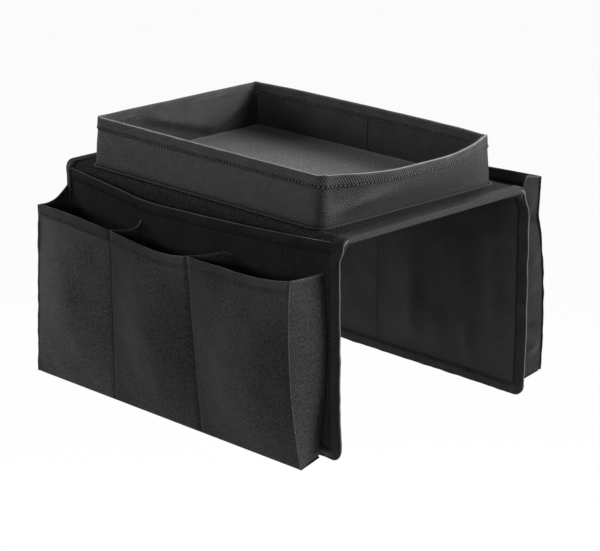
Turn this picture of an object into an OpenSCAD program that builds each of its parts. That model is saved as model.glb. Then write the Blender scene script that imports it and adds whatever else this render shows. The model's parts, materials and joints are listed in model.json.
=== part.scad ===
// Sofa tray organizer: a cloth saddle that lies over an armrest, with a walled tray on top and a
// hanging flap of pockets on each side. The origin is the middle of the seat face that rests on
// the armrest. X runs along the armrest, the three-pocket flap hangs at -Y, and Z points up.

/* [Saddle] */
// How far the saddle runs past the tray's base at each end
end_shelf = 29; // [20:1:50]
// How far the flaps' outer faces stand out from the tray's sides
side_shelf = 9; // [8:0.5:30]
// How far the front flap hangs below the seat face
front_drop = 175; // [150:5:240]
// How far the rear flap hangs below the seat face
rear_drop = 174; // [165:5:240]
// Outer radius of the shoulders, where the top turns down
shoulder_r = 7; // [6:0.5:10]
// Radius of the lower corners of the flaps
flap_corner_r = 10; // [4:1:20]

/* [Cloth and fillings] */
// Thickness of the woven cloth
cloth_t = 1; // [0.7:0.1:1.3]
// Thickness of the binding tape
tape_t = 0.8; // [0.5:0.1:1]
// Width of the binding tape on each face
tape_w = 9; // [6:0.5:12]
// Thickness of the foam in the top
foam_t = 3; // [2:0.5:4]
// Thickness of the stiffening sheet in the flaps
stiffener_t = 1.5; // [1:0.25:2.5]

/* [Tray] */
// Length of the tray at its base
tray_x = 272; // [220:2:320]
// Width of the tray at its base
tray_y = 192; // [160:2:240]
// Height of the tray walls
tray_h = 40; // [25:1:70]
// How far the front and rear walls lean in at the rim
tray_lean = 4; // [0:0.5:8]
// Radius of the upright corners
tray_corner_r = 9; // [7:1:20]
// How far the tray sits towards the front
tray_shift = 3.5; // [0:0.5:4]
// How far the right wall bows out at the rim
right_bow = 15; // [0:1:20]
// How far the rear wall bows out at the rim
rear_bow = 6; // [0:1:8]
// Thickness of the boards in the walls
wall_board_t = 1.6; // [1:0.2:2.4]
// Thickness of the board in the tray's base
base_board_t = 2; // [1:0.5:3]
// Width of the welt around the tray's base
welt_w = 1.6; // [1:0.2:2.4]

/* [Magazine pocket] */
// How far its mouth lies below the shoulder seam
magazine_mouth = 1.2; // [0.6:0.2:6]
// How far its mouth gapes
magazine_gape = 9; // [5:1:12]
// How far the middle of its mouth sags
magazine_sag = 4; // [0:0.5:8]
// How far down the gape reaches
magazine_reach = 95; // [70:5:120]

/* [Front pockets] */
// Depth from flap to face
front_depth = 30; // [24:1:45]
// How far the mouths lie below the seat face
front_mouth = 26; // [22:1:60]
// How much lower the right end of the mouths is
front_mouth_fall = 4; // [0:1:10]
// Distance of the pockets from the flap's right edge
front_inset = 18; // [12:1:40]
// How far the left side swells past the flap at its foot
front_flare = 6; // [0:1:10]
// How far the belly of each face swells
front_belly = 4; // [0:0.5:8]

/* [Rear pockets] */
// Depth from flap to face
rear_depth = 29; // [22:1:32]
// How far the mouths lie above the shoulder seam
rear_mouth = 4; // [0:0.5:5]
// Distance of the pockets from the tape on the flap's side edges
rear_inset = 1; // [0.5:0.5:20]
// How far the pockets end above the tape on the flap's lower edge
rear_foot = 5; // [4:1:30]
// How far the belly of each face swells
rear_belly = 3; // [0:0.5:6]

/* [Hidden] */
// Clearance between pieces that move against each other, at the shoulder seams
seam_gap = 0.3;
// Clearance between pieces sewn to each other
touch = 0.12;
// Length by which a cut runs past what it cuts
overrun = 1;
$fn = 48;

top_t = 2 * cloth_t + foam_t;
flap_t = 2 * cloth_t + stiffener_t;
half_x = tray_x / 2 + end_shelf;
half_y = tray_y / 2 + side_shelf;
// The shoulders turn about a line this far from the middle and from the seat face
shoulder_y = half_y - shoulder_r;
shoulder_z = top_t - shoulder_r;
flap_top = shoulder_z - seam_gap;
arc_steps = 6;

wall_t = 2 * cloth_t + wall_board_t;
floor_z = top_t + base_board_t + cloth_t;
// Bow of each wall at the rim, in the order front, right, rear, left
wall_bows = [0, right_bow, rear_bow, 0];
side_steps = 8;
corner_steps = 4;
loop_steps = 4 * (side_steps + corner_steps);
welt_h = base_board_t;

// The panel's square corners clear the rounded inside of the flap's binding
magazine_margin = tape_w + touch + max(0, flap_corner_r - tape_w) * (1 - sqrt(0.5));
magazine_half = half_x - magazine_margin;
magazine_low = -front_drop + magazine_margin;
magazine_top = flap_top - magazine_mouth;

// Shares of a pocket's depth at [foot, mouth], each for [left, right]
front_depth_shares = [[1.03, 0.85], [0.93, 1.17]];
rear_depth_shares = [[0.9, 0.9], [1, 1]];
// Shares of the mouths' length at which the dividers stand
front_division_shares = [0, 0.3, 0.64, 1];
rear_division_shares = [0, 0.5, 1];
// Share of the pocket depth by which each mouth bows out, and by which it sags
front_mouth_shares = [0.1, -0.12, -0.14];
front_sag_shares = [0.03, 0.12, 0.1];
rear_mouth_shares = [0.05, 0.05];
rear_sag_shares = [0.08, 0.08];
// Share of the pocket depth by which dividers and gussets sag
divider_sag_share = 0.1;
// Share of the front depth by which the right foot swells out and the right gusset leans
foot_swell_share = 0.12;
gusset_lean_share = 0.22;
// Share of the front depth by which the gussets rise, and the base climbs, towards the flap
gusset_rise_share = 0.3;
base_climb_share = 0.24;
// Share of the front depth by which the right divider slants
divider_slant_share = 0.45;
// Share of the rear depth by which the gussets fall below the shoulder seam at the flap
rear_fall_share = 1 / 3;
// Steps along and up a pocket face
face_steps = 7;
deep_steps = 4;

function mix(a, b, t) = a + (b - a) * t;
function clamp(t) = max(0, min(1, t));
// Value inside four corner values [[foot left, foot right], [top left, top right]]
function patch(c, u, v) = mix(mix(c[0][0], c[0][1], u), mix(c[1][0], c[1][1], u), v);
// Bow of an edge held at its two ends, 0 at the ends and 1 in the middle
function bow(t) = 1 - pow(abs(2 * clamp(t) - 1), 3);
function hang(t) = sin(180 * clamp(t));

// Solid between an outer and an inner grid of points. Seen from outside, columns run to the
// right and rows run up. A wrapped skin joins its last column to its first.
module skin(outer, inner, wrap = false) {
    rows = len(outer);
    cols = len(outer[0]);
    count = rows * cols;
    last = rows - 1;
    steps = wrap ? cols : cols - 1;
    function o(i, j) = i * cols + j % cols;
    function n(i, j) = count + o(i, j);
    faces = concat(
        [for (i = [0:last - 1], j = [0:steps - 1]) each [
            [o(i, j), o(i + 1, j), o(i + 1, j + 1)],
            [o(i, j), o(i + 1, j + 1), o(i, j + 1)],
            [n(i, j), n(i + 1, j + 1), n(i + 1, j)],
            [n(i, j), n(i, j + 1), n(i + 1, j + 1)]]],
        [for (j = [0:steps - 1]) each [
            [o(0, j), o(0, j + 1), n(0, j + 1)],
            [o(0, j), n(0, j + 1), n(0, j)],
            [o(last, j + 1), o(last, j), n(last, j)],
            [o(last, j + 1), n(last, j), n(last, j + 1)]]],
        wrap ? [] : [for (i = [0:last - 1]) each [
            [o(i + 1, 0), o(i, 0), n(i, 0)],
            [o(i + 1, 0), n(i, 0), n(i + 1, 0)],
            [o(i, steps), o(i + 1, steps), n(i + 1, steps)],
            [o(i, steps), n(i + 1, steps), n(i, steps)]]]);
    polyhedron(points = concat([for (row = outer) each row], [for (row = inner) each row]),
               faces = faces);
}

// Saddle top

// Quarter ring in the YZ plane about the shoulder line, on the front side
module quarter(r0, r1) {
    translate([-shoulder_y, shoulder_z]) intersection() {
        difference() {
            circle(r1);
            circle(r0);
        }
        translate([-r1 - overrun, 0]) square(r1 + overrun);
    }
}

// Cross-section of a layer of the top that lies between two distances from the shoulder line
module arch(r0, r1) {
    translate([-shoulder_y, shoulder_z + r0]) square([2 * shoulder_y, r1 - r0]);
    quarter(r0, r1);
    mirror([1, 0]) quarter(r0, r1);
}

// Turns a YZ cross-section into a solid that runs along X from x0 to x1
module along_x(x0, x1) {
    translate([x0, 0, 0]) rotate([90, 0, 90]) linear_extrude(x1 - x0) children();
}

// The foam and rolls end inside the web of the side bindings
core_half_x = half_x - tape_t;
seat_half_y = shoulder_y - touch;

module top_lining() {
    color("#26262a")
        along_x(-half_x + tape_w, half_x - tape_w)
            translate([-seat_half_y, 0]) square([2 * seat_half_y, cloth_t]);
}

module top_foam() {
    color("#6a6a6e")
        along_x(-core_half_x, core_half_x)
            translate([-seat_half_y, cloth_t]) square([2 * seat_half_y, foam_t]);
}

module shoulder_roll() {
    color("#6a6a6e")
        along_x(-core_half_x, core_half_x) quarter(shoulder_r - top_t, shoulder_r - cloth_t);
}

module front_shoulder_roll() {
    shoulder_roll();
}

module rear_shoulder_roll() {
    mirror([0, 1, 0]) shoulder_roll();
}

module top_cover() {
    color("#343438")
        along_x(-core_half_x, core_half_x) arch(shoulder_r - cloth_t, shoulder_r);
}

// Tape folded over the right edge of the top
module top_binding() {
    leg_x = half_x - tape_w;
    color("#404045") {
        along_x(core_half_x, half_x) arch(shoulder_r - top_t, shoulder_r + tape_t);
        along_x(leg_x, core_half_x) arch(shoulder_r, shoulder_r + tape_t);
        along_x(leg_x, core_half_x)
            translate([-seat_half_y, 0]) square([2 * seat_half_y, cloth_t]);
    }
}

module top_binding_right() {
    top_binding();
}

module top_binding_left() {
    mirror([1, 0, 0]) top_binding();
}

// Tray

// Stations around the tray's base, each [x, y, outward x, outward y, bow at the rim]. They run
// along the front, right, rear and left walls, anticlockwise from above.
tray_loop = [for (k = [0:3])
    let (a = 90 * k - 90,
         across = k % 2 == 0,
         half = (across ? tray_x : tray_y) / 2 - tray_corner_r,
         out = (across ? tray_y : tray_x) / 2,
         c = cos(a), s = sin(a))
    each concat(
        [for (i = [0:side_steps]) let (t = i / side_steps, d = mix(-half, half, t))
            [c * out - s * d, s * out + c * d, c, s, wall_bows[k] * bow(t)]],
        [for (j = [1:corner_steps - 1]) let (b = a + 90 * j / corner_steps, m = out - tray_corner_r)
            [c * m - s * half + tray_corner_r * cos(b), s * m + c * half + tray_corner_r * sin(b),
             cos(b), sin(b), 0]])];

// Point of the wall at a station, a distance in from its outer face and a share h of its
// height. A wall that bows out keeps its own height, so its rim dips.
function wall_at(st, inset, h) =
    let (narrow = mix(1, (tray_y - 2 * tray_lean) / tray_y, h),
         push = st[4] * h - inset,
         rise = tray_h - st[4] * st[4] / (2 * tray_h))
    [st[0] + st[2] * push, st[1] * narrow + st[3] * push - tray_shift, top_t + rise * h];

// Ring or run of wall between two insets, with a row of points at each share of the height
module wall_band(loop, inset0, inset1, rows, wrap) {
    skin([for (h = rows) [for (st = loop) wall_at(st, inset0, h)]],
         [for (h = rows) [for (st = loop) wall_at(st, inset1, h)]], wrap);
}

// The walls have a row of points where the tape on the rim ends
tape_row = 1 - tape_w / tray_h;
wall_rows = [0, tape_row / 2, tape_row, 1];

// Plan of the tray's base, a distance in from the outer face of its walls
module tray_plan(inset) {
    polygon([for (st = tray_loop)
        [st[0] - st[2] * inset, st[1] - st[3] * inset - tray_shift]]);
}

// The base panels stop clear of the leaning walls
base_inset = wall_t + touch + tray_lean * (floor_z - top_t) / tray_h;

module tray_base_board() {
    color("#8a7a60")
        translate([0, 0, top_t]) linear_extrude(base_board_t) tray_plan(base_inset);
}

module tray_floor_lining() {
    color("#3c3c40")
        translate([0, 0, top_t + base_board_t]) linear_extrude(cloth_t) tray_plan(base_inset);
}

module tray_base_welt() {
    color("#1c1c1f")
        wall_band(tray_loop, -2 * touch - welt_w, -2 * touch, [0, welt_h / tray_h], true);
}

module tray_wall_cover() {
    color("#3a3a3e") wall_band(tray_loop, 0, cloth_t, wall_rows, true);
}

module tray_wall_lining() {
    color("#2e2e32") wall_band(tray_loop, wall_t - cloth_t, wall_t, wall_rows, true);
}

// Board of wall k, which runs from the middle of one corner to the middle of the next
module tray_board(k) {
    half_corner = corner_steps / 2;
    first = k * (side_steps + corner_steps) - half_corner + loop_steps;
    run = [for (i = [0:side_steps + corner_steps]) tray_loop[(first + i) % loop_steps]];
    color("#8a7a60") wall_band(run, cloth_t, cloth_t + wall_board_t, wall_rows, false);
}

module tray_board_front() {
    tray_board(0);
}

module tray_board_right() {
    tray_board(1);
}

module tray_board_rear() {
    tray_board(2);
}

module tray_board_left() {
    tray_board(3);
}

// Tape folded over the rim: a leg on each side of the wall and a narrowing fold above it
module tray_rim_binding() {
    high = 1 + tape_t / tray_h;
    legs = [tape_row, 1];
    color("#404045") {
        wall_band(tray_loop, -tape_t, 0, legs, true);
        wall_band(tray_loop, wall_t, wall_t + tape_t, legs, true);
        skin([[for (st = tray_loop) wall_at(st, -tape_t, 1)],
              [for (st = tray_loop) wall_at(st, 0, high)]],
             [[for (st = tray_loop) wall_at(st, wall_t + tape_t, 1)],
              [for (st = tray_loop) wall_at(st, wall_t, high)]], true);
    }
}

// Flaps, drawn as the front one

// Outline of a flap in the XZ plane, a distance in from its sides and foot
function flap_outline(drop, inset, past = 0) =
    let (x = half_x - inset, low = -drop + inset, r = max(flap_corner_r - inset, touch))
    concat([[x, flap_top + past]],
           [for (i = [0:arc_steps]) let (a = -90 * i / arc_steps)
               [x - r + r * cos(a), low + r + r * sin(a)]],
           [for (i = [0:arc_steps]) let (a = -90 - 90 * i / arc_steps)
               [-x + r + r * cos(a), low + r + r * sin(a)]],
           [[-x, flap_top + past]]);

// Band along the sides and foot of a flap, between two insets
module flap_band(drop, inset0, inset1) {
    difference() {
        polygon(flap_outline(drop, inset0));
        polygon(flap_outline(drop, inset1, overrun));
    }
}

// Layer of a flap, of thickness t, that starts a distance in from the flap's outer face
module flap_layer(depth, t) {
    translate([0, -half_y + depth + t, 0]) rotate([90, 0, 0]) linear_extrude(t) children();
}

module flap_cover(drop) {
    color("#2c2c30") flap_layer(0, cloth_t) polygon(flap_outline(drop, tape_t));
}

module flap_stiffener(drop) {
    color("#8c8c90") flap_layer(cloth_t, stiffener_t) polygon(flap_outline(drop, tape_t));
}

module flap_lining(drop) {
    color("#26262a") flap_layer(flap_t - cloth_t, cloth_t) polygon(flap_outline(drop, tape_t));
}

// Tape folded over the sides and foot
module flap_binding(drop) {
    color("#404045") {
        flap_layer(-tape_t, flap_t + 2 * tape_t) flap_band(drop, 0, tape_t);
        flap_layer(-tape_t, tape_t) flap_band(drop, tape_t, tape_w);
        flap_layer(flap_t, tape_t) flap_band(drop, tape_t, tape_w);
    }
}

module front_flap_cover() {
    flap_cover(front_drop);
}

module front_flap_stiffener() {
    flap_stiffener(front_drop);
}

module front_flap_lining() {
    flap_lining(front_drop);
}

module front_flap_binding() {
    flap_binding(front_drop);
}

module rear_flap_cover() {
    mirror([0, 1, 0]) flap_cover(rear_drop);
}

module rear_flap_stiffener() {
    mirror([0, 1, 0]) flap_stiffener(rear_drop);
}

module rear_flap_lining() {
    mirror([0, 1, 0]) flap_lining(rear_drop);
}

module rear_flap_binding() {
    mirror([0, 1, 0]) flap_binding(rear_drop);
}

// Magazine pocket, a flat panel over the front flap whose mouth hangs open

// How far the panel stands off the flap
function gape(x, z) =
    let (t = clamp((z - magazine_top + magazine_reach) / magazine_reach))
    magazine_gape * bow((x + magazine_half) / (2 * magazine_half)) * pow(t, 1.5);

function magazine_at(u, v, out) =
    let (x = mix(-magazine_half, magazine_half, u),
         z = mix(magazine_low, magazine_top - magazine_sag * bow(u), v))
    [x, -half_y - touch - gape(x, z) - out, z];

magazine_row = 1 - tape_w / (magazine_top - magazine_low);
magazine_columns = [for (i = [0:2 * face_steps]) i / (2 * face_steps)];

module magazine_pocket() {
    rows = concat([for (i = [0:face_steps]) magazine_row * i / face_steps], [1]);
    color("#2c2c30")
        skin([for (v = rows) [for (u = magazine_columns) magazine_at(u, v, cloth_t)]],
             [for (v = rows) [for (u = magazine_columns) magazine_at(u, v, 0)]]);
}

// Tape on the outside of the mouth
module magazine_binding() {
    near = cloth_t + touch;
    legs = [magazine_row, 1];
    color("#404045")
        skin([for (v = legs) [for (u = magazine_columns) magazine_at(u, v, near + tape_t)]],
             [for (v = legs) [for (u = magazine_columns) magazine_at(u, v, near)]]);
}

// Gusseted pockets. A set holds [x, depth, z] as corner values, the divisions, the bow and sag
// of each mouth, the belly, and the distance of the flap's face from the middle.

front_plane = half_y + max(cloth_t, tape_t) + 2 * touch;
front_left = -half_x + cloth_t;
front_right = half_x - front_inset;
front_foot = -front_drop - cloth_t;
front_set = [
    [[front_left - front_flare, front_right + foot_swell_share * front_depth],
     [front_left, front_right]],
    front_depth * front_depth_shares,
    [[front_foot, front_foot], [-front_mouth, -front_mouth - front_mouth_fall]],
    front_division_shares,
    front_depth * front_mouth_shares,
    front_depth * front_sag_shares,
    front_belly,
    front_plane];

rear_half = half_x - tape_w - rear_inset;
rear_low = -rear_drop + tape_w + rear_foot;
rear_set = [
    [[-rear_half, rear_half], [-rear_half, rear_half]],
    rear_depth * rear_depth_shares,
    [[rear_low, rear_low],
     [shoulder_z + rear_mouth, shoulder_z + rear_mouth]],
    rear_division_shares,
    rear_depth * rear_mouth_shares,
    rear_depth * rear_sag_shares,
    rear_belly,
    half_y + touch];

// Point of face k at a share s of its width and v of its height, a distance in from its outside
function face_at(set, k, s, v, inset) =
    let (u = mix(set[3][k], set[3][k + 1], s),
         swell = hang(s) * (set[4][k] * v * v + set[6] * hang(v)),
         sag = set[5][k] * hang(s) * v)
    [patch(set[0], u, v), -(set[7] + patch(set[1], u, v) + swell - inset),
     patch(set[2], u, v) - sag];

// Share of face k's width that is a given length
function width_share(set, k, length) =
    length / (patch(set[0], set[3][k + 1], 1) - patch(set[0], set[3][k], 1));

// Shares along face k that its mouth tape covers, clear of the gussets and dividers beside it
function tape_shares(set, k) =
    let (end = width_share(set, k, cloth_t + 2 * touch))
    [for (i = [0:face_steps]) mix(end, 1 - end, i / face_steps)];

// Share of a face's height at which its mouth tape ends
function mouth_row(set) = 1 - tape_w / (set[2][1][0] - set[2][0][0]);

// Band of face k between two distances in from its outside
module face_band(set, k, columns, rows, inset0, inset1) {
    skin([for (v = rows) [for (s = columns) face_at(set, k, s, v, inset0)]],
         [for (v = rows) [for (s = columns) face_at(set, k, s, v, inset1)]]);
}

module pocket_face(set, k) {
    seam = width_share(set, k, touch);
    columns = concat([seam], tape_shares(set, k), [1 - seam]);
    rows = concat([for (i = [0:face_steps]) mouth_row(set) * i / face_steps], [1]);
    color("#333337") face_band(set, k, columns, rows, 0, cloth_t);
}

// Tape folded over the mouth of face k
module pocket_mouth(set, k) {
    columns = tape_shares(set, k);
    legs = [mouth_row(set), 1];
    lift = [0, 0, tape_t];
    color("#404045") {
        face_band(set, k, columns, legs, -tape_t, 0);
        face_band(set, k, columns, legs, cloth_t, cloth_t + tape_t);
        skin([[for (s = columns) face_at(set, k, s, 1, -tape_t)],
              [for (s = columns) face_at(set, k, s, 1, 0) + lift]],
             [[for (s = columns) face_at(set, k, s, 1, cloth_t + tape_t)],
              [for (s = columns) face_at(set, k, s, 1, cloth_t) + lift]]);
    }
}

// Height of the pocket base's upper side, a share d of the way from flap to face
function base_z(set, climb, d) = set[2][0][0] + touch + cloth_t + mix(climb, 0, d);

// Point of a wall that runs from the flap to the faces: d is the share of the way, v of its
// height, u its place along the mouths, flap_x where it meets the flap at [foot, mouth]
function web_at(set, u, flap_x, rise, climb, panel, d, v) =
    let (foot = face_at(set, 0, 0, 0, 0),
         mouth = patch(set[2], u, 1),
         top = mouth + mix(rise, 0, d) - divider_sag_share * set[1][1][0] * hang(d),
         z = mix(base_z(set, climb, d) + touch, top, v),
         x = mix(mix(flap_x[0], flap_x[1], v), patch(set[0], u, v), d),
         stand = panel ? gape(x, z) : 0,
         near = set[7] + stand,
         far = set[7] + patch(set[1], u, v * (top - foot[2]) / (mouth - foot[2]))
               - cloth_t - 2 * touch)
    [x, -mix(near, far, d), z];

// Wall from flap to faces. side is the share of the cloth that lies to the right of its line.
module web(set, u, flap_x, rise, climb, panel, side) {
    deep = [for (i = [0:deep_steps]) i / deep_steps];
    high = [for (i = [0:face_steps]) i / face_steps];
    right = [side * cloth_t, 0, 0];
    left = [(side - 1) * cloth_t, 0, 0];
    color("#2a2a2e")
        skin([for (v = high) [for (d = deep) web_at(set, u, flap_x, rise, climb, panel, d, v) + left]],
             [for (v = high) [for (d = deep) web_at(set, u, flap_x, rise, climb, panel, d, v) + right]]);
}

// Strip that closes the pockets below
module pocket_base(set, flap_ends, climb) {
    deep = [for (i = [0:deep_steps]) i / deep_steps];
    wide = [for (i = [0:2 * face_steps]) i / (2 * face_steps)];
    far = [for (u = wide) patch(set[1], u, 0) - cloth_t - 2 * touch];
    function at(d, i, drop) =
        let (margin = cloth_t + touch,
             x0 = mix(flap_ends[0], set[0][0][0], d) + margin,
             x1 = mix(flap_ends[1], set[0][0][1], d) - margin)
        [mix(x0, x1, wide[i]), -(set[7] + far[i] * d), base_z(set, climb, d) - drop];
    color("#2a2a2e")
        skin([for (d = deep) [for (i = [0:len(wide) - 1]) at(d, i, cloth_t)]],
             [for (d = deep) [for (i = [0:len(wide) - 1]) at(d, i, 0)]]);
}

front_climb = base_climb_share * front_depth;
front_rise = gusset_rise_share * front_depth;
front_lean = gusset_lean_share * front_depth;
slant = divider_slant_share * front_depth;
front_u = front_division_shares;

// Where the front dividers meet the flap: straight behind the face, or slanted to the right
function front_line(k, shift) = mix(front_left, front_right, front_u[k]) + shift;

module front_face_left() {
    pocket_face(front_set, 0);
}

module front_face_middle() {
    pocket_face(front_set, 1);
}

module front_face_right() {
    pocket_face(front_set, 2);
}

module front_mouth_left() {
    pocket_mouth(front_set, 0);
}

module front_mouth_middle() {
    pocket_mouth(front_set, 1);
}

module front_mouth_right() {
    pocket_mouth(front_set, 2);
}

module front_gusset_left() {
    web(front_set, 0, [front_left, front_left], front_rise, front_climb, false, 1);
}

module front_divider_left() {
    x = front_line(1, 0);
    web(front_set, front_u[1], [x, x], front_climb, front_climb, true, 0.5);
}

module front_divider_right() {
    x = front_line(2, slant);
    web(front_set, front_u[2], [x, x], front_climb, front_climb, true, 0.5);
}

module front_gusset_right() {
    web(front_set, 1, [front_right - front_lean, front_right], front_climb, front_climb, true, 0);
}

module front_pocket_base() {
    pocket_base(front_set, [front_left, front_right - front_lean], front_climb);
}

// The gussets of the rear pockets slope up from the flap to the mouths
rear_slope = -rear_mouth - rear_fall_share * rear_depth;
rear_climb = base_climb_share * rear_depth;

module rear_web(u, x, side) {
    mirror([0, 1, 0]) web(rear_set, u, [x, x], rear_slope, rear_climb, false, side);
}

module rear_face_left() {
    mirror([0, 1, 0]) pocket_face(rear_set, 0);
}

module rear_face_right() {
    mirror([0, 1, 0]) pocket_face(rear_set, 1);
}

module rear_mouth_left() {
    mirror([0, 1, 0]) pocket_mouth(rear_set, 0);
}

module rear_mouth_right() {
    mirror([0, 1, 0]) pocket_mouth(rear_set, 1);
}

module rear_gusset_left() {
    rear_web(0, -rear_half, 1);
}

module rear_divider() {
    rear_web(rear_division_shares[1], 0, 0.5);
}

module rear_gusset_right() {
    rear_web(1, rear_half, 0);
}

module rear_pocket_base() {
    mirror([0, 1, 0]) pocket_base(rear_set, [-rear_half, rear_half], rear_climb);
}

top_lining();
top_foam();
front_shoulder_roll();
rear_shoulder_roll();
top_cover();
top_binding_left();
top_binding_right();
tray_base_board();
tray_floor_lining();
tray_base_welt();
tray_wall_cover();
tray_board_front();
tray_board_right();
tray_board_rear();
tray_board_left();
tray_wall_lining();
tray_rim_binding();
front_flap_lining();
front_flap_stiffener();
front_flap_cover();
front_flap_binding();
magazine_pocket();
magazine_binding();
front_face_left();
front_face_middle();
front_face_right();
front_mouth_left();
front_mouth_middle();
front_mouth_right();
front_gusset_left();
front_divider_left();
front_divider_right();
front_gusset_right();
front_pocket_base();
rear_flap_lining();
rear_flap_stiffener();
rear_flap_cover();
rear_flap_binding();
rear_face_left();
rear_face_right();
rear_mouth_left();
rear_mouth_right();
rear_gusset_left();
rear_divider();
rear_gusset_right();
rear_pocket_base();
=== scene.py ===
"""Sofa tray organizer: the cloth, tapes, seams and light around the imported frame.

Shapes are worked out in millimetres in the row frame: X along the armrest, Y towards the rear flap and
Z up. Every cloth starts as a flat grid, and a function lays each of its points.
"""

import json
import math

import bmesh
import bpy
from mathutils import Matrix, Vector, noise

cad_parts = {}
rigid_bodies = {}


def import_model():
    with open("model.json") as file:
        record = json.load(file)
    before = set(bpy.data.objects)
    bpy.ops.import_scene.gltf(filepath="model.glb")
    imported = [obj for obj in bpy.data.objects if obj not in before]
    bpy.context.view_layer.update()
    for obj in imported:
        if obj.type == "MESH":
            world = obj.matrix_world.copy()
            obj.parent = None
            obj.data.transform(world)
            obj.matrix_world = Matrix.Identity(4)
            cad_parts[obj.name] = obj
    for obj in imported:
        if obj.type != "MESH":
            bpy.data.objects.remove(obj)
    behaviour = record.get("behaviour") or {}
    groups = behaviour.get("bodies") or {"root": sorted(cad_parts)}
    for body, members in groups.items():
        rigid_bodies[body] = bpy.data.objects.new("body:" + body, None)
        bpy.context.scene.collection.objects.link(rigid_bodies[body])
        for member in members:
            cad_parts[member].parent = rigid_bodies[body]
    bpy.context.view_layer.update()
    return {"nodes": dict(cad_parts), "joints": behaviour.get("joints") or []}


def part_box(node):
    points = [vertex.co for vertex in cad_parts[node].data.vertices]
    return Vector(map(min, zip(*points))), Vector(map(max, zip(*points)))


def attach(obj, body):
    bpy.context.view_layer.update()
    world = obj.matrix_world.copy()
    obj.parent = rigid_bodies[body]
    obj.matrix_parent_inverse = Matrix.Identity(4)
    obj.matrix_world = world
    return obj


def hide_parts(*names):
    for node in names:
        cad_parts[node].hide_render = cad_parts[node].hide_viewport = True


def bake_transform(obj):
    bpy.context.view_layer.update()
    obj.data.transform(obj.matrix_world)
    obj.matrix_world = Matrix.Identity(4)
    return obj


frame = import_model()

MM = 0.001


def node_box(node):
    """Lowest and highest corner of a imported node, in millimetres."""
    low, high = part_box(node)
    return low / MM, high / MM


def strip_width(thick):
    """Flat width of a tape folded over an edge of that thickness."""
    return 2 * tape_w + math.pi * thick / 2


# Saddle
end_tape = node_box("top_binding_right")[1]
seat_low, seat_high = node_box("top_lining")
_, half_y, top_z = node_box("top_cover")[1]
half_x = end_tape.x
cloth_t = seat_high.z - seat_low.z
tape_t = end_tape.z - top_z
tape_w = half_x - seat_high.x
shoulder_r = 7
shoulder_y = half_y - shoulder_r
shoulder_z = top_z - shoulder_r
shoulder_arc = math.pi / 2 * shoulder_r
flap_t = node_box("front_flap_lining")[1].y + half_y
front_low = node_box("front_flap_binding")[0].z
rear_low = node_box("rear_flap_binding")[0].z
flap_corner_r = 10
tape_leaf = 0.9 * tape_t
tape_crown = 1.2
flap_strip = strip_width(flap_t + tape_t)
hem_t = 0.4
hem_leaf = 0.8 * hem_t
hem_crown, hem_stand = 0.5, 0.05
lining_leaf = 0.9
mouth_strip = strip_width(cloth_t + 2 * hem_t)
flap_stand = 1.6
flap_squeeze = 1.1
front_draw, rear_draw = 4, -4.5
# Gap between two cloths
cloth_gap = 0.15
# Gap between a filling and its cloth, half the foam's length, and the heights between which it lies
gap = 0.1
foam_end = half_x - 1.2
foam_low, foam_high = cloth_t + gap, top_z - cloth_t - gap

# Tray
wall_low, wall_high = node_box("tray_wall_cover")
board_low, board_high = node_box("tray_base_board")
tray_half_x = -wall_low.x
tray_half_y = (board_low.y + board_high.y) / 2 - wall_low.y
tray_mid_y = wall_low.y + tray_half_y
tray_h = wall_high.z - top_z
tray_corner_r = 9
tray_lean = 4
tray_skew = 4.5
wall_bows = (0, wall_high.x - tray_half_x, 6, 0)
board_leaf = 1.4
wall_t = 2 * (cloth_t + gap) + board_leaf
rim_strip = strip_width(wall_t + 2 * tape_t)
floor_z = node_box("tray_floor_lining")[1].z

# Ridges of the tray's right wall: how far from its front corner, reach, share of its height and
# how that climbs over the run, spread, and how far it stands out
ridge_run = 75
wall_ridges = (
    (34, 28, 0.22, 0.4, 0.17, 3.6),
    (12, 12, 0.6, 0, 0.3, -1.6),
    (95, 30, 0.5, 0, 0.3, 0.9),
)
# Sag of the tray's inner cloth along the left wall: its run from the rear corner and its depth,
# how far along its crease is lowest, that share of the height, and its climb to the rear and front
sag_run, sag_depth = 150, 6
crease_at, crease_low, crease_climb = 52, 0.24, (0.012, 0.0075)
# The seam allowance at the foot of the walls
welt_reach, welt_rise = 2.4, 1.3
welt_strip, welt_leaf = 5, 0.6

# Magazine pocket
magazine_half, magazine_foot = half_x - tape_w + 1.5, front_low + tape_w - 1.5
magazine_gape, magazine_reach = 9, 95

# Gusseted pockets
front_left, front_right = 1 - half_x, half_x - 18
seam_pinch, seam_reach = 1.4, 1.1
# Flat widths of the folded top of a wall and of a seam allowance, and their leaves of cloth
edge_leg, edge_strip = 1.2, 4
fin_strip, fin_leaf = 3, 0.3


def mix(a, b, t):
    return a + (b - a) * t


def clamp(t):
    return max(0, min(1, t))


def smooth(t):
    t = clamp(t)
    return t * t * (3 - 2 * t)


def bow(t):
    """Bow of an edge held at its two ends, 0 at the ends and 1 in the middle."""
    return 1 - abs(2 * clamp(t) - 1) ** 3


def hang(t):
    return math.sin(math.pi * clamp(t))


def bump(t, middle, width):
    """A soft hump of height 1 around the middle."""
    return math.exp(-(((t - middle) / width) ** 2))


def patch(corners, u, v):
    """Value inside corner values ((foot left, foot right), (top left, top right))."""
    return mix(mix(*corners[0], u), mix(*corners[1], u), v)


def curve(stations, t):
    """Smooth curve through (place, value) stations."""
    i = max(k for k in range(len(stations) - 1) if stations[k][0] <= t or k == 0)
    (t0, a), (t1, b) = stations[i], stations[i + 1]
    before = stations[max(i - 1, 0)]
    after = stations[min(i + 2, len(stations) - 1)]
    step = t1 - t0
    slope_a = (b - before[1]) / (t1 - before[0]) * step
    slope_b = (after[1] - a) / (after[0] - t0) * step
    s = clamp((t - t0) / step)
    return mix(a, b, smooth(s)) + s * (1 - s) * (slope_a * (1 - s) - slope_b * s)


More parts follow.
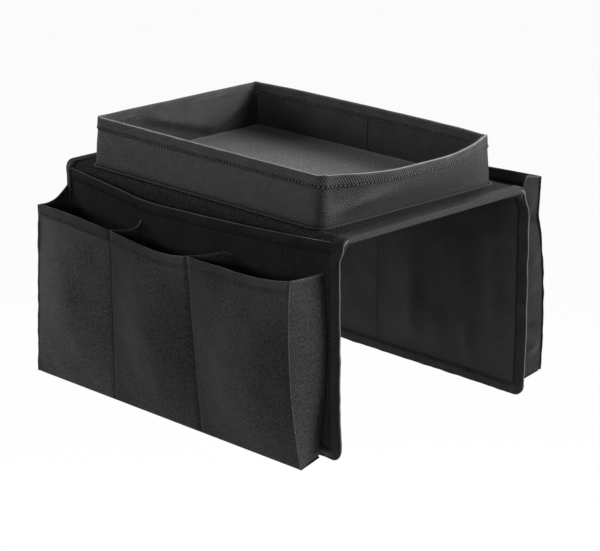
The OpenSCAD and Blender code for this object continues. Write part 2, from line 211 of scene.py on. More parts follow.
def ripple(x, y, z, size, seed=0):
    """Even, seeded unevenness from -1 to 1, over about that many millimetres."""
    return noise.noise(Vector((x / size + seed, y / size - seed, z / size + 2 * seed)))


# Materials


class Wire:
    """A number on a wire of a material. Sums with it add Math nodes."""

    def __init__(self, paint, socket):
        self.paint = paint
        self.socket = socket

    def math(self, operation, *values):
        return self.paint.add("ShaderNodeMath", values, operation=operation)

    def __add__(self, other):
        return self.math("ADD", self, other)

    def __sub__(self, other):
        return self.math("SUBTRACT", self, other)

    def __mul__(self, other):
        return self.math("MULTIPLY", self, other)

    def __truediv__(self, other):
        return self.math("DIVIDE", self, other)

    def __rsub__(self, other):
        return self.math("SUBTRACT", other, self)

    def __mod__(self, other):
        return self.math("FLOORED_MODULO", self, other)

    __radd__ = __add__
    __rmul__ = __mul__

    def wave(self):
        return self.math("SINE", self) * 0.5 + 0.5

    def near(self, middle, width):
        """1 at the middle value, falling evenly to 0 over the width."""
        away = self.math("ABSOLUTE", (self - middle) / width)
        return self.math("MAXIMUM", 1 - away, 0)


class Paint:
    """The nodes of a new material, or of the world."""

    def __init__(self, owner):
        owner.use_nodes = True
        self.owner = owner
        self.tree = owner.node_tree
        self.tree.nodes.clear()

    def add(self, kind, sockets=(), output=0, **settings):
        """A node of that kind, with the values or links of its sockets and its settings."""
        node = self.tree.nodes.new(kind)
        for key, value in settings.items():
            setattr(node, key, value)
        pairs = sockets.items() if isinstance(sockets, dict) else enumerate(sockets)
        for key, value in pairs:
            if isinstance(value, Wire):
                self.tree.links.new(value.socket, node.inputs[key])
            else:
                node.inputs[key].default_value = value
        return Wire(self, node.outputs[output]) if len(node.outputs) else None

    def chart(self):
        """The place on the flat cut, across and along, in metres."""
        place = self.add("ShaderNodeUVMap", uv_map="Cut")
        x, y = (self.add("ShaderNodeSeparateXYZ", [place], k) for k in (0, 1))
        return place, x, y

    def noise(self, place, scale, detail=3):
        sockets = {"Vector": place, "Scale": scale, "Detail": detail}
        return self.add("ShaderNodeTexNoise", sockets, "Fac")

    def mix(self, low, high, amount):
        """A colour between two, each given or on a wire."""
        sockets = {"Factor": amount, "A": low, "B": high}
        return self.add("ShaderNodeMix", sockets, "Result", data_type="RGBA")

    def finish(self, colour, roughness, relief, depth, sheen, gloss=0.25):
        """Closes the material: relief is a height from 0 to 1 and depth its size in millimetres."""
        sockets = {"Strength": 1, "Distance": depth * MM, "Height": relief}
        normal = self.add("ShaderNodeBump", sockets)
        sockets = {"Base Color": colour, "Roughness": roughness, "Normal": normal,
                   "Specular IOR Level": gloss, "Sheen Weight": sheen, "Sheen Roughness": 0.45}
        shader = self.add("ShaderNodeBsdfPrincipled", sockets)
        self.add("ShaderNodeOutputMaterial", {"Surface": shader})
        return self.owner


TURN = 2 * math.pi
# Unevenness of cloth and tape, in waves per metre
BLOTCHES, LINT, SLUBS = 45, 1000, 420
TAPE_BLOTCHES, TAPE_LINT = 70, 900
# Ribs of the tape, reach of a sunk seam with its painted shade and of the painted highlight, with wear,
# along a fold, and the pitch, length and stand of the stitches with their distance from a hem, all in
# millimetres
TAPE_RIB, TAPE_THREAD = 2.2, 0.8
SEAM_REACH, CROWN_REACH = 1.5, 0.9
STITCH_PITCH, STITCH_LENGTH, STITCH_STAND = 3.4, 2.4, 0.08
LEG_SEAM = 1.6
# Spacing of the cross threads as a share of the ribs', and how far raised threads are polished
THREAD_SHARE, POLISH = 0.8, 0.2


def grey(level):
    return level, level, level, 1


def woven(name, level, rib, twill, grain=0.5, sheen=0.05, depth=0.12, gloss=0.25, matt=0.86):
    """Woven cloth whose twill ribs run slanted, rib millimetres apart. twill and grain say how
    strongly the ribs and the finer threads darken and lighten it."""
    paint = Paint(bpy.data.materials.new(name))
    place, x, y = paint.chart()
    blotch = paint.noise(place, BLOTCHES)
    lint = paint.noise(place, LINT, 2)
    slub = paint.noise(place, SLUBS, 1)
    slant = ((x + y) * (TURN / (rib * MM)) + slub * 5).wave()
    thread = ((x - y) * (TURN / (THREAD_SHARE * rib * MM)) + lint * 3).wave()
    weave = slant * 0.6 + thread * 0.4
    grit = (lint + slub - 1) * (1.5 * grain)
    amount = 0.5 + (weave - 0.5) * twill + grit + (blotch - 0.5) * 0.5
    colour = paint.mix(grey(0), grey(level * 2), amount)
    return paint.finish(colour, matt - weave * POLISH, weave + lint, depth, sheen, gloss)


def ribbed(name, level, rows, crown=None, ribs=0.8, wear_and_highlight=1, sheen=0.05, gloss=0.1, depth=0.35, sunk=1):
    """Binding tape with slanted ribs. A row of stitches sinks in at each of the rows, distances from
    its outer hem, with painted shade along it, and along its fold, the crown, the tape is painted paler:
    a painted highlight with some wear."""
    paint = Paint(bpy.data.materials.new(name))
    place, x, y = paint.chart()
    blotch = paint.noise(place, TAPE_BLOTCHES)
    lint = paint.noise(place, TAPE_LINT, 2)
    rib = ((x + y * 0.7) * (TURN / (TAPE_RIB * MM)) + lint).wave()
    thread = ((y - x * 0.4) * (TURN / (TAPE_THREAD * MM))).wave()
    weave = rib * 0.8 + thread * 0.2
    seam = sum(y.near(row * MM, SEAM_REACH * MM) for row in rows)
    hole = ((x % (STITCH_PITCH * MM)) / MM).near(0.5, 0.8) * seam
    amount = 0.5 + (weave - 0.5) * ribs + (lint - 0.5) * 0.8 + (blotch - 0.5) * 0.6
    # Painted shade: the colour darkens along each row of stitches and more at each stitch hole
    colour = paint.mix(grey(0), grey(level * 2), amount - (seam * 0.5 + hole * 0.9) * sunk)
    # Painted highlight, with some wear: a paler band along the fold, the crown
    if crown:
        pale = y.near(crown * MM, CROWN_REACH * MM) * ((lint + blotch - 0.35) * 1.6)
        colour = paint.mix(colour, grey(level * (2 + 6 * wear_and_highlight)), pale * wear_and_highlight)
    relief = weave * 0.5 - seam * 0.8 - hole * 0.4 + 1.2
    return paint.finish(colour, 0.8 - weave * POLISH, relief, depth, sheen, gloss)


def ground(name, low, high, scale, depth):
    """Foam, pressed fibre or board: a grained material with no weave."""
    paint = Paint(bpy.data.materials.new(name))
    place = paint.add("ShaderNodeTexCoord", output="Object")
    grain = paint.noise(place, scale, 6)
    colour = paint.mix(low, high, grain)
    return paint.finish(colour, 0.95 - grain * 0.1, grain, depth, 0)


cover_paint = woven("Black twill cloth", 0.016, 2.2, 1.6, grain=0.9, sheen=0, gloss=0.02)
wall_paint = woven("Black twill cloth of the tray wall", 0.0145, 2.2, 3, grain=1.3, depth=0.32,
                   gloss=0.3, matt=0.7)
welt_paint = woven("Black twill cloth of the foot seam", 0.0025, 1.7, 1)
panel_paint = woven("Black twill cloth of the magazine pocket", 0.014, 2.2, 2.8, sheen=0, gloss=0.05)
face_paint = woven("Black twill cloth of the pockets", 0.014, 2, 1.2, grain=1, gloss=0.15)
# Painted light: the left pocket is a paler copy of the pockets' cloth, standing in for the stronger light
# on it
lit_left_face_paint = woven("Black twill cloth of the left pocket", 0.027, 2, 1, grain=0.6, gloss=0.15)
# Painted shade: a darker copy of the pockets' cloth for the rear pockets
shaded_back_paint = woven("Black twill cloth of the rear pockets", 0.009, 2, 1.2, gloss=0.1)
lining_paint = woven("Black plain lining", 0.017, 1.2, 0.2, grain=0.3, depth=0.05, gloss=0.15)
# Painted light: a paler copy of the lining for the tray's inner walls
lit_tray_lining_paint = woven("Black plain lining of the tray", 0.021, 1.2, 0.2, grain=0.3, depth=0.05,
                          gloss=0.15)
# Painted light: the floor's lining is painted paler than the walls' lining, for the light on its upward
# face
lit_floor_paint = woven("Black lining of the tray floor", 0.036, 2, 1, grain=1.4, sheen=0.14, gloss=0.15)
thread_paint = woven("Black sewing thread", 0.011, 0.6, 0.4)
rim_thread_paint = woven("Black sewing thread of the rim", 0.075, 0.6, 0.4)
# Painted highlight: a paler copy of the cloth for the folded tops of the pocket walls and the outer seam
# allowances
fold_highlight_paint = woven("Black cloth painted pale along its folds as a highlight", 0.026, 1.1, 0.8, grain=1.2)
# Painted shade: a near-black copy of the cloth for the seam allowances in the grooves between the pockets
groove_shade_paint = woven("Black cloth in the grooves of the pockets", 0.004, 1.1, 0.8)
foam_paint = ground("Grey foam", grey(0.09), grey(0.15), 900, 0.2)
fibre_paint = ground("Pressed fibre sheet", grey(0.22), grey(0.34), 700, 0.1)
board_paint = ground("Fibre board", (0.26, 0.19, 0.12, 1), (0.36, 0.27, 0.18, 1), 500, 0.1)
# Tapes given a crown get a painted highlight along their fold
rim_paint = ribbed("Black binding tape", 0.036, (LEG_SEAM, rim_strip - LEG_SEAM), rim_strip / 2 - 1)
edge_paint = ribbed("Black binding tape of the edges", 0.028, (LEG_SEAM,), ribs=5, gloss=0.12,
                    sheen=0, depth=1.1)
flap_tape_paint = ribbed("Black binding tape of the flaps", 0.013, (LEG_SEAM, flap_strip - LEG_SEAM),
                         flap_strip / 2, ribs=0.35)
mouth_paint = ribbed("Black mouth tape", 0.018, (LEG_SEAM,), mouth_strip / 2, wear_and_highlight=0.7, sunk=0.3)
lip_paint = ribbed("Black magazine mouth tape", 0.014, (LEG_SEAM,), mouth_strip / 2, wear_and_highlight=1.4,
                   sheen=0, gloss=0.03, sunk=0.5)


# Sheets of cloth


def new_object(name, data):
    thing = bpy.data.objects.new(name, data)
    bpy.context.scene.collection.objects.link(thing)
    return thing


def new_piece(name, mesh, paint):
    data = bpy.data.meshes.new(name)
    mesh.to_mesh(data)
    mesh.free()
    data.shade_smooth()
    data.materials.append(paint)
    return new_object(name, data)


def sew(piece, rides, nodes=()):
    """Fixes a piece to its body, or leaves one that crosses the hinge between two in place, unattached,
    and hides the imported parts that it stands for.
    """
    if isinstance(rides, str):
        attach(piece, rides)
    else:
        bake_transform(piece)
    if nodes:
        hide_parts(*nodes)
    return piece


def lay(name, cuts, flat, place, paint, rides, nodes=(), thick=cloth_t, closed=False, soft=0.3,
        held=None):
    """A cloth that starts as a flat grid of cuts cells. place(u, v) lays each point, in millimetres,
    u from left to right and v from foot to top as seen from the cloth's outer side. When held is given,
    the flat size is passed to declare."""
    mesh = bmesh.new()
    bmesh.ops.create_grid(mesh, x_segments=cuts[0], y_segments=cuts[1], size=0.5)
    chart = mesh.loops.layers.uv.new("Cut")
    for face in mesh.faces:
        for loop in face.loops:
            u, v = loop.vert.co.x + 0.5, loop.vert.co.y + 0.5
            loop[chart].uv = (u * flat[0] * MM, v * flat[1] * MM)
    for vert in mesh.verts:
        vert.co = Vector(place(vert.co.x + 0.5, vert.co.y + 0.5)) * MM
    if closed:
        bmesh.ops.remove_doubles(mesh, verts=mesh.verts, dist=0.01 * MM)
    piece = new_piece(name, mesh, paint)
    body = piece.modifiers.new("Thickness", "SOLIDIFY")
    body.thickness = thick * MM
    body.offset = -1
    if soft:
        edge = piece.modifiers.new("Soft edge", "BEVEL")
        edge.width = soft * MM
        edge.segments = 2
        edge.limit_method = "ANGLE"
        edge.angle_limit = math.radians(55)
    sew(piece, rides, nodes)
    if held:
        declare(flat)
    return piece


def declare(flat, area=None):
    """Turns a sheet's flat size from millimetres into metres; nothing further is done with it."""
    flat = (flat[0] * MM, flat[1] * MM)


# Heights over and under a hinge line, in millimetres, passed along with it; the pieces do not use them
bend_up, bend_down = 3.5, 4


def across_hinge(joint):
    """The bodies on the two sides of a shoulder's hinge, with points a little over and under its line. A
    cloth given these is left unattached and does not bend with the hinge.
    """
    pivot = Vector(joint["pos_m"])
    up = Vector((0, 0, MM))
    return joint["parent"], joint["child"], pivot + up * bend_up, pivot - up * bend_down


joints = {joint["child"]: joint for joint in frame["joints"]}
front_bend = across_hinge(joints["front_flap"])
rear_bend = across_hinge(joints["rear_flap"])


def rearward(place):
    """The same cloth on the rear side."""

    def mirrored(u, v):
        x, y, z = place(1 - u, v)
        return x, -y, z

    return mirrored


def normal_at(place, u, v):
    """Point of a cloth, its direction across and its outward normal."""
    step = 0.002
    here = Vector(place(u, v))
    across = Vector(place(min(u + step, 1), v)) - Vector(place(max(u - step, 0), v))
    along = Vector(place(u, min(v + step, 1))) - Vector(place(u, max(v - step, 0)))
    return here, across.normalized(), across.cross(along).normalized()


def stitches(name, runs, rides, slot, slant=0, thick=0.85, paint=thread_paint):
    """Sewing thread: one short bead for each stitch of each run. A run is (place, length, row), where
    row(t) gives (u, v) on the cloth for a share t of the length."""
    bead = bmesh.new()
    bmesh.ops.create_uvsphere(bead, u_segments=6, v_segments=4, radius=0.5)
    bead.verts.index_update()
    mesh = bmesh.new()
    chart = mesh.loops.layers.uv.new("Cut")
    for place, length, row in runs:
        count = int(length / STITCH_PITCH)
        for i in range(count):
            here, run, out = normal_at(place, *row((i + 0.65) / count))
            run = Matrix.Rotation(math.radians(slant), 3, out) @ run
            turn = Matrix((run * STITCH_LENGTH, out.cross(run) * thick, out * thick)).transposed()
            here += out * STITCH_STAND
            verts = [mesh.verts.new((turn @ vert.co + here) * MM) for vert in bead.verts]
            for face in bead.faces:
                mesh.faces.new([verts[vert.index] for vert in face.verts])
    bead.free()
    for face in mesh.faces:
        for loop in face.loops:
            loop[chart].uv = (loop.vert.co.x, loop.vert.co.z)
    return sew(new_piece(name, mesh, paint), rides)


def upright_row(place, u, length, low, high):
    """Stitches up a cloth, from one share of its height to another."""

    def turned(a, b):
        return place(u - (b - 0.5) * 0.02, a)

    return turned, length, lambda t: (mix(low, high, t), 0.5)


def bind(names, cuts, flat, place, tape_paint, rides, node, on, leaf=tape_leaf, both=False,
         closed=False, soft=0.2, **sewing):
    """A tape folded over an edge, sewn along its outer hem, or along both: names holds those of the tape
    and the stitches. on, the pieces that the tape is folded over, is not used."""
    tape = lay(names[0], cuts, flat, place, tape_paint, rides, [node], leaf, closed, soft)
    share = LEG_SEAM / flat[1]
    rows = [(place, flat[0], lambda t, v=v: (t, v)) for v in (share, 1 - share)[: 1 + both]]
    thread = stitches(names[1], rows, rides, "tape", **sewing)
    declare(flat)


# Tray

tray_sides = [2 * (tray_half_x - tray_corner_r), 2 * (tray_half_y - tray_corner_r)] * 2
tray_side_names = ("front", "right", "rear", "left")
tray_arc = math.pi / 2 * tray_corner_r
tray_round = sum(tray_sides) + 4 * tray_arc


def station(d):
    """Place on the foot of the tray's wall, a distance along it from its front left corner, with its
    outward direction and the bow of the wall there."""
    d %= tray_round
    for k, side in enumerate(tray_sides):
        if k == 3 or d <= side + tray_arc:
            break
        d -= side + tray_arc
    facing = (k - 1) * math.pi / 2
    c, s = math.cos(facing), math.sin(facing)
    out = tray_half_x if k % 2 else tray_half_y
    middle, along = out - tray_corner_r, min(d, side) - side / 2
    turned = facing + max(d - side, 0) / tray_corner_r
    nx, ny = math.cos(turned), math.sin(turned)
    x = c * middle - s * along + tray_corner_r * nx
    y = s * middle + c * along + tray_corner_r * ny
    return x, y, nx, ny, wall_bows[k] * bow(d / side)


def skewed(x, y):
    """The tray is a little longer along its rear."""
    return tray_skew * clamp(x / tray_half_x) * clamp(0.5 + y / (2 * tray_half_y))


def wall_at(d, inset, h):
    """Point of the wall, a distance in from its outer face and a share h of its height."""
    x, y, nx, ny, out = station(d)
    narrow = mix(1, (tray_half_y - tray_lean) / tray_half_y, h)
    push = out * h - inset
    rise = tray_h - out * out / (2 * tray_h)
    px, py = x + nx * push, y * narrow + ny * push
    return px + skewed(px, py), py + tray_mid_y, top_z + rise * h


def wall_puff(d, h):
    """How far the outer cloth stands off the wall. It is tucked in at the foot."""
    x, y, *_ = station(d)
    z = h * tray_h
    stand = 0.35 + 0.35 * ripple(x, y, z, 38) + 0.2 * ripple(x, y, z, 14, 3.1)
    along = d - corner_starts[0] - tray_arc
    for middle, reach, share, climb, spread, height in wall_ridges:
        share += climb * clamp(along / ridge_run)
        stand += height * bump(along, middle, reach) * bump(h, share, spread)
    corner = sum(bump(d, start, 1.2) for start in corner_starts)
    tuck = 0.8 * (1 - smooth(h / 0.05))
    return max(stand * hang(h) - 0.5 * corner, -0.4) - tuck


corner_starts = [sum(tray_sides[: k + 1]) + k * tray_arc for k in range(4)]
corner_mids = [start + tray_arc / 2 for start in corner_starts]


def wall_outer(u, v):
    d = u * tray_round
    return wall_at(d, -wall_puff(d, v), v)


def wall_inner(u, v):
    """The inner cloth sags off the left wall above a crease."""
    d = (1 - u) * tray_round
    x, y, *_ = station(d)
    wave = 0.5 + 0.5 * ripple(x, y, v * tray_h, 45, 7.7)
    from_rear = d - corner_starts[2] - tray_arc
    from_low = from_rear - crease_at
    crease = crease_low + (crease_climb[1] if from_low > 0 else -crease_climb[0]) * from_low
    sag = clamp((1 - v) / (1 - min(crease, 0.85))) if v > crease else smooth((v - crease) / 0.18 + 1)
    sag *= smooth((from_rear - 2) / 25) * smooth((sag_run - from_rear) / 40)
    corner = sum(bump(d, middle, 2) for middle in corner_mids)
    inset = wall_t + (wave + sag_depth * sag) * hang(v) ** 0.5
    return wall_at(d, inset - 1.7 * corner * smooth((1 - v) / 0.2), v)


def fold(t, leg, thick, crown):
    """Point across a tape folded over an edge, t from its outer hem to its inner one: its distance in
    from the outer leg, and its height above the edge."""
    bend = math.pi * thick / 2
    s = t * (2 * leg + bend)
    if s <= leg:
        return 0, s - leg
    if s >= leg + bend:
        return thick, leg + bend - s
    turned = (s - leg) / bend * math.pi
    return thick / 2 * (1 - math.cos(turned)), crown * math.sin(turned)


def rim_tape(u, v):
    d = u * tray_round
    inset, lift = fold(v, tape_w, wall_t + 2 * tape_t, tape_crown)
    x, y, *_ = station(d)
    wave = 0.25 * ripple(x, y, 0, 22, 5) + sum(bump(d, middle, 3) for middle in corner_mids)
    px, py, pz = wall_at(d, inset - tape_t, 1 + min(lift, 0) / tray_h)
    return px, py, pz + max(lift, 0) + wave * bump(v, 0.5, 0.35)


def tray_floor(u, v):
    """The floor's cloth: a rectangle with rounded corners, a little padded."""
    inset = wall_t + cloth_gap
    half_w, half_d = tray_half_x - inset, tray_half_y - inset
    r = tray_corner_r - inset
    x, y = mix(-half_w, half_w, u), mix(-half_d, half_d, v)
    core_x = max(-half_w + r, min(half_w - r, x))
    core_y = max(-half_d + r, min(half_d - r, y))
    away = math.hypot(x - core_x, y - core_y)
    if away > r:
        x, y = core_x + (x - core_x) * r / away, core_y + (y - core_y) * r / away
    rim = min(half_w - abs(x), half_d - abs(y))
    puff = 0.9 * smooth(rim / 9) + 0.35 * ripple(x, y, 0, 60, 2.2) * smooth(rim / 30)
    return x + skewed(x, y), y + tray_mid_y, floor_z + puff


def foot_welt(u, v):
    """The seam allowance at the foot of the walls: a narrow rolled lip."""
    d = u * tray_round
    a = v * math.pi
    x, y, *_ = station(d)
    out = welt_reach * (0.5 + 0.5 * math.cos(a)) + 0.12 * ripple(x, y, 0, 9, 1)
    px, py, pz = wall_at(d, -out, 0)
    return px, py, pz + gap + welt_rise * math.sin(a)


def build_tray():
    cuts = 300
    around = (tray_round, tray_h)
    cover = lay("tray_wall_cloth", (cuts, 14), around, wall_outer, wall_paint, "saddle",
                ["tray_wall_cover"], closed=True)
    lay("tray_wall_inner_cloth", (cuts, 12), around, wall_inner, lit_tray_lining_paint, "saddle",
        ["tray_wall_lining"], closed=True, held="stretched")
    bind(("tray_rim_tape", "tray_rim_stitches"), (cuts, 22), (tray_round, rim_strip), rim_tape,
         rim_paint, "saddle", "tray_rim_binding", ["tray_wall_cloth", "tray_wall_inner_cloth"],
         both=True, closed=True, slant=14, thick=1, paint=rim_thread_paint)
    corner = corner_mids[0] / tray_round
    rear_seam = 1 - (corner_starts[2] - tray_sides[2] / 2) / tray_round
    upright = [upright_row(wall_outer, corner, tray_h, 0.05, 0.76),
               upright_row(wall_inner, rear_seam, tray_h, 0.1, 0.76)]
    wall_thread = stitches("tray_wall_stitches", upright, "saddle", "cloth")
    flat = (2 * tray_half_x, 2 * tray_half_y)
    lay("tray_floor_cloth", (90, 62), flat, tray_floor, lit_floor_paint, "saddle",
        ["tray_floor_lining"], held="laid")
    welt = lay("tray_foot_welt", (cuts, 8), (tray_round, welt_strip), foot_welt, welt_paint, "saddle",
               ["tray_base_welt"], welt_leaf, closed=True, soft=0)
    declare((tray_round, 2 * welt_strip),
            area=tray_round * welt_strip * MM * MM)
    declare(around)


# Saddle top


def shelf_puff(x, y):
    """The foam swells between the tray's foot and the edges of the top."""
    end = (abs(x) - tray_half_x) / (half_x - tape_w - tray_half_x)
    swell = 0.8 * hang(end) if end > 0 else 0
    edge = smooth((shoulder_y - abs(y)) / 12)
    return (swell + 0.25 * ripple(x, y, 0, 30, 4) * smooth(end * 3)) * edge


def top_at(u, v):
    x = mix(tape_t - half_x, half_x - tape_t, u)
    y = mix(-shoulder_y, shoulder_y, v)
    return x, y, top_z + shelf_puff(x, y)


def seat_at(u, v):
    """The lining under the top, which rests on the armrest. Its outer side faces down."""
    x = mix(half_x - tape_w, tape_w - half_x, u)
    y = mix(2 * gap - shoulder_y, shoulder_y - 2 * gap, v)
    return x, y, 0


def side_tape(side):
    """Tape over one end of the top, side 1 on the right and -1 on the left."""

    def place(u, v):
        inset, lift = fold(v, tape_w, top_z + tape_t, tape_crown)
        y = mix(shoulder_y, -shoulder_y, u) * side
        edge = half_x - tape_crown + 0.35 * ripple(0, y, 0, 18, side)
        top = top_z + tape_t - inset
        return side * (edge + lift), y, max(top, 0)

    return place


def build_top():
    flat = (2 * half_x, 2 * shoulder_y)
    lay("saddle_top_cloth", (110, 64), flat, top_at, cover_paint, "saddle", ["top_cover"],
        held="stretched")
    flat = (2 * half_x - 2 * tape_w, 2 * shoulder_y)
    lay("saddle_seat_cloth", (60, 36), flat, seat_at, lining_paint, "saddle",
        ["top_lining"], lining_leaf, held="stretched")
    flat = (2 * shoulder_y, strip_width(top_z + tape_t))
    for side, name in ((1, "right"), (-1, "left")):
        bind((f"top_tape_{name}", f"top_tape_stitches_{name}"), (66, 20), flat, side_tape(side),
             edge_paint, "saddle", f"top_binding_{name}", ["saddle_top_cloth"], slant=10)


def build_foam():
    """The foam of the top, and its roll at each shoulder."""
    mesh = bmesh.new()
    bmesh.ops.create_cube(mesh, size=1)
    for vert in mesh.verts:
        vert.co.x *= 2 * foam_end * MM
        vert.co.y *= 2 * (shoulder_y - 2 * gap) * MM
        vert.co.z = (foam_low if vert.co.z < 0 else foam_high) * MM
    bmesh.ops.bevel(mesh, geom=mesh.edges[:], offset=0.8 * MM, segments=3, profile=0.5,
                    affect="EDGES")
    foam = new_piece("saddle_foam", mesh, foam_paint)
    sew(foam, "saddle", ["top_foam"])
    for side, name in ((-1, "front"), (1, "rear")):
        roll = bmesh.new()
        middle = Vector((-foam_end, side * shoulder_y, shoulder_z))
        radii = (shoulder_r - foam_high, shoulder_r - foam_low)
        ring = [roll.verts.new(middle + Vector((0, 0, r))) for r in radii]
        bmesh.ops.spin(roll, geom=[roll.edges.new(ring), *ring], cent=middle, axis=(1, 0, 0),
                       angle=-side * math.pi / 2, steps=10, use_duplicate=False)
        skin = bmesh.ops.extrude_face_region(roll, geom=roll.faces[:])
        for vert in (g for g in skin["geom"] if isinstance(g, bmesh.types.BMVert)):
            vert.co.x = foam_end
        bmesh.ops.recalc_face_normals(roll, faces=roll.faces[:])
        bmesh.ops.scale(roll, vec=(MM, MM, MM), verts=roll.verts[:])
        piece = new_piece(f"{name}_shoulder_foam", roll, foam_paint)
        sew(piece, "saddle", [f"{name}_shoulder_roll"])


# Flaps, laid as the front one


def outer_path(s, low):
    """Point of the outer line over the flap and shoulder, a distance up from the flap's foot, with
    its outward direction."""
    straight = shoulder_z - low
    if s <= straight:
        return -half_y, low + s, -1, 0
    a = min((s - straight) / shoulder_r, math.pi / 2)
    ny, nz = -math.cos(a), math.sin(a)
    return -shoulder_y + shoulder_r * ny, shoulder_z + shoulder_r * nz, ny, nz


def flap_outline(d, low, inset):
    """Place on the outline of a flap, a distance from the top of its right side, with the direction
    outwards in the flap's plane. The distance is measured as on the outer edge."""
    total = flap_round(low)
    if d > total / 2:
        x, z, ex, ez = flap_outline(total - d, low, inset)
        return -x, z, -ex, ez
    r = flap_corner_r - inset
    side = shoulder_z - low - flap_corner_r
    a = -min(max(d - side, 0) / flap_corner_r, math.pi / 2)
    ex, ez = math.cos(a), math.sin(a)
    x = half_x - flap_corner_r + r * ex - max(d - side - math.pi / 2 * flap_corner_r, 0)
    return x, low + flap_corner_r + r * ez + max(side - d, 0), ex, ez


def edge_squeeze(e):
    """How far each side of a flap gives way under its tape, a distance in from the edge."""
    return flap_squeeze * (1 - smooth(e / 8))


def edge_distance(x, z, low):
    """Distance in from a flap's sides and rounded foot."""
    side, foot = half_x - abs(x), z - low
    if side < flap_corner_r and foot < flap_corner_r:
        return flap_corner_r - math.hypot(flap_corner_r - side, flap_corner_r - foot)
    return min(side, foot)


def round_in(x, z, low, inset):
    """Draws a point of a square corner into a flap's rounded one."""
    core_x, core_z = half_x - flap_corner_r, low + flap_corner_r
    dx, dz = abs(x) - core_x, core_z - z
    away = math.hypot(dx, dz)
    if dx <= 0 or dz <= 0 or away <= flap_corner_r - inset:
        return x, z
    scale = (flap_corner_r - inset) / away
    return math.copysign(core_x + dx * scale, x), core_z - dz * scale


def flap_round(low):
    """Length of a flap's outline."""
    side = shoulder_z - low - flap_corner_r
    return 2 * side + math.pi * flap_corner_r + 2 * (half_x - flap_corner_r)


def drawn(x, z, draw):
    """The right side of a flap is drawn in below the shoulder, or stands out where draw is negative."""
    return x - draw * clamp(x / half_x) ** 3 * smooth((-3 - z) / 12) * (1 - 0.3 * smooth((-120 - z) / 50))


def flap_cover(low, draw):
    length = shoulder_z - low + shoulder_arc - tape_t

    def place(u, v):
        y, z, ny, nz = outer_path(v * length + tape_t, low)
        x = mix(tape_t - half_x, half_x - tape_t, u)
        rise = smooth((z - low) / 8) * smooth((-4 - z) / 12)
        puff = 0.5 * (1 + ripple(x, 0, z, 50, low)) * rise
        if nz == 0:
            x, z = round_in(x, z, low, tape_t)
        puff -= edge_squeeze(edge_distance(x, z, low)) * (1 - smooth(1.4 * nz))
        return drawn(x, z, draw), y + ny * puff, z + nz * puff

    return place, length


def flap_lining(low, draw, swells):
    length = shoulder_z - low + 3.5

    def place(u, v):
        x = mix(half_x - tape_t, tape_t - half_x, u)
        s = v * length
        straight = shoulder_z - low - 5
        inner = flap_t - half_y
        if s <= straight:
            edge = smooth((half_x - tape_w - abs(x)) / 25) * smooth((s - tape_w) / 25)
            x, z = round_in(x, low + tape_t + s, low, tape_t)
            swell = 1.2 + 1.5 * ripple(x, 0, z, 60, low) + 0.9 * ripple(x, 0, z * 0.4, 24, 1)
            swell += sum(height * bump(x, cx, rx) * bump(z, cz, rz) for cx, cz, rx, rz, height in swells)
            rise = max(swell, 0) * edge * smooth((straight - s) / 15)
            squeeze = edge_squeeze(edge_distance(x, z, low)) * smooth((straight - s) / 10)
            return drawn(x, z, draw), inner + rise - squeeze, z
        t = (s - straight) / (length - straight)
        y = mix(inner, -shoulder_y, smooth(t)) - gap
        return x, y, mix(low + tape_t + straight, -0.15, t)

    return place, length


def taped_edge(v, thick, free):
    """Point across a flap's tape, v from its outer hem to its inner one: its distance out from the
    flap's face, in from the edge, and past the edge. The edge is squeezed where it is free."""
    inset, lift = fold(v, tape_w, flap_t + tape_t, tape_crown)
    e = max(-lift, 0)
    outer = tape_t + free * (flap_stand * smooth(e / 6) - edge_squeeze(e))
    inner = -thick - free * (tape_t - edge_squeeze(e))
    return mix(outer, inner, inset / (flap_t + tape_t)), e, max(lift, 0)


def flap_tape(low, draw):
    """Tape over the sides and foot of a flap, and on over the shoulder to the top's tape."""
    outline = flap_round(low)
    total = outline + 2 * shoulder_arc

    def place(u, v):
        d = u * total - shoulder_arc
        shoulder = clamp(max(-d, d - outline) / shoulder_arc)
        x, z, ex, ez = flap_outline(min(max(d, 0), outline), low, tape_crown)
        y, over, ny, nz = outer_path(shoulder_z - low + shoulder * shoulder_arc, low)
        if shoulder:
            z = over
        free = 1 - smooth(shoulder / 0.7)
        away, e, lift = taped_edge(v, mix(flap_t, top_z, smooth(shoulder * 2)), free)
        e = min(e, flap_corner_r - tape_crown - 0.2)
        wave = (0.6 * ripple(x, d, z, 26, low) + 0.3 * ripple(x, d, z, 10, 3)) * free
        shift = lift - e + wave
        x, z = x + ex * shift, z + ez * shift
        away += 0.4 * ripple(d, x, z, 11, 6) * free
        return drawn(x, z, draw), y + ny * away, z + nz * away

    return place, total


def build_flap(side, low, draw, bend, turn, swells, seam_x=None):
    """A flap. seam_x is where a row of stitches runs up its lining."""
    place, length = flap_cover(low, draw)
    flat = (2 * half_x, length)
    lay(f"{side}_flap_cloth", (110, 60), flat, turn(place), cover_paint, bend,
        [f"{side}_flap_cover"], soft=0, held="hung")
    place, length = flap_lining(low, draw, swells)
    inner = turn(place)
    flat = (2 * half_x, length)
    lining = lay(f"{side}_flap_inner_cloth", (120, 66), flat, inner, lining_paint, bend,
                 [f"{side}_flap_lining"], lining_leaf, soft=0)
    if seam_x is not None:
        rows = [upright_row(inner, (half_x + seam_x) / (2 * half_x), length - 12, 0.02, 0.94)]
        stitches(f"{side}_flap_centre_stitches", rows, bend, "lining")
    declare(flat)
    place, total = flap_tape(low, draw)
    bind((f"{side}_flap_tape", f"{side}_flap_tape_stitches"), (300, 20), (total, flap_strip), turn(place),
         flap_tape_paint, bend, f"{side}_flap_binding",
         [f"{side}_flap_cloth", f"{side}_flap_inner_cloth"], both=True, slant=10)


